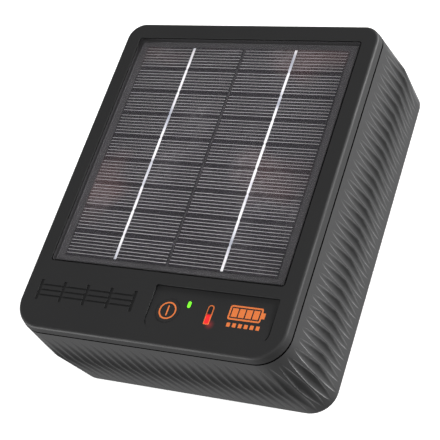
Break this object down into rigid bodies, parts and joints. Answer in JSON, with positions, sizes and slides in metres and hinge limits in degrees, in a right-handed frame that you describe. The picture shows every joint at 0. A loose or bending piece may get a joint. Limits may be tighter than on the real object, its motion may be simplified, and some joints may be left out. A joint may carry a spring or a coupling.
{
  "type": "solar fence energizer",
  "caption": "Wedge-sided solar fence energizer: glazed cell panel, sloped control recess with key and lights, fluted housing, rear rails, keyholes and two screw terminals.",
  "frame": {"origin": "under the middle of the case, on the surface it rests on", "axes": "+X right side of the face, +Y top edge of the face, +Z out of the solar panel"},
  "size_m": [0.1636, 0.2078, 0.0803],
  "materials": {
    "cover_plastic": "fine-textured charcoal black plastic",
    "housing_plastic": "satin dark grey plastic",
    "seal_rubber": "soft black rubber",
    "panel_glass": "clear solar glass",
    "cell_silicon": "dark violet-grey crystalline silicon",
    "tinned_ribbon": "bright tinned copper ribbon",
    "backing_board": "dark laminated board",
    "key_plastic": "fine-textured charcoal black plastic",
    "orange_print": "orange moulded inlay",
    "green_light": "lit lime green light pipe",
    "red_light": "lit red light pipe",
    "rail_rubber": "black rubber",
    "black_nylon": "black nylon",
    "stainless_steel": "turned stainless steel",
    "fence_red_plastic": "red plastic",
    "earth_green_plastic": "green plastic",
    "zinc_steel": "bright zinc plate",
    "board_laminate": "green soldermask",
    "led_resin": "clear cream resin",
    "ferrite": "dark grey ferrite",
    "bobbin_plastic": "natural nylon",
    "enamelled_copper": "enamelled copper wire",
    "capacitor_sleeve": "dark blue sleeve",
    "black_aluminium": "black anodised aluminium",
    "cell_wrap": "blue heat-shrink wrap",
    "strap_plastic": "black nylon strap",
    "lead_insulation": "lead insulation"
  },
  "bodies": {
    "case": {"front_cover": "cover_plastic", "rear_housing": "housing_plastic", "cover_seal": "seal_rubber", "panel_gasket": "seal_rubber", "stud_seals": "seal_rubber", "solar_glass": "panel_glass", "solar_cells": "cell_silicon", "busbar_ribbons": "tinned_ribbon", "panel_backing": "backing_board", "temperature_symbol": "orange_print", "battery_symbol": "orange_print", "status_light_pipe": "green_light", "temperature_light_pipe": "red_light", "left_rear_rail": "rail_rubber", "right_rear_rail": "rail_rubber", "vent_plug": "black_nylon", "switch_body": "black_nylon", "battery_cradle": "black_nylon", "lead_socket": "black_nylon", "fence_stud": "stainless_steel", "earth_stud": "stainless_steel", "fence_stud_nut": "stainless_steel", "earth_stud_nut": "stainless_steel", "cover_screws": "zinc_steel", "main_board_screws": "zinc_steel", "control_board_screws": "zinc_steel", "cradle_screws": "zinc_steel", "main_board": "board_laminate", "control_board": "board_laminate", "status_led": "led_resin", "temperature_led": "led_resin", "transformer_core": "ferrite", "charge_choke": "ferrite", "transformer_bobbin": "bobbin_plastic", "transformer_windings": "enamelled_copper", "storage_capacitor": "capacitor_sleeve", "heat_sink": "black_aluminium", "battery_cells": "cell_wrap", "battery_straps": "strap_plastic", "battery_leads": "lead_insulation", "output_leads": "lead_insulation"},
    "power_button": {"power_key": "key_plastic", "key_symbol": "orange_print"},
    "plunger": {"switch_plunger": "black_nylon"},
    "fence_clamp": {"fence_clamp_washer": "stainless_steel"},
    "fence_turner": {"fence_knob": "fence_red_plastic"},
    "earth_clamp": {"earth_clamp_washer": "stainless_steel"},
    "earth_turner": {"earth_knob": "earth_green_plastic"}
  },
  "joints": [
    {"name": "power_key_press", "type": "slide", "parent": "case", "child": "power_button", "axis": [0, 0, -1], "range_m": [0, 0.0008], "stiffness_N_per_m": 900, "springref_m": -0.0004},
    {"name": "plunger_press", "type": "slide", "parent": "case", "child": "plunger", "axis": [0, 0, -1], "range_m": [0, 0.0008]},
    {"name": "fence_clamp_slide", "type": "slide", "parent": "case", "child": "fence_clamp", "axis": [0, 0, -1], "range_m": [0, 0.002]},
    {"name": "fence_knob_turn", "type": "hinge", "parent": "fence_clamp", "child": "fence_turner", "pos_m": [-0.018, -0.06475, 0.01], "axis": [0, 0, -1], "range_deg": [0, 720]},
    {"name": "earth_clamp_slide", "type": "slide", "parent": "case", "child": "earth_clamp", "axis": [0, 0, -1], "range_m": [0, 0.002]},
    {"name": "earth_knob_turn", "type": "hinge", "parent": "earth_clamp", "child": "earth_turner", "pos_m": [0.009, -0.06475, 0.01], "axis": [0, 0, -1], "range_deg": [0, 720]}
  ],
  "couplings": [
    {"joint": "plunger_press", "follows": "power_key_press", "ratio": 1},
    {"joint": "fence_knob_turn", "follows": "fence_clamp_slide", "rad_per_m": 6283.2},
    {"joint": "earth_knob_turn", "follows": "earth_clamp_slide", "rad_per_m": 6283.2}
  ]
}
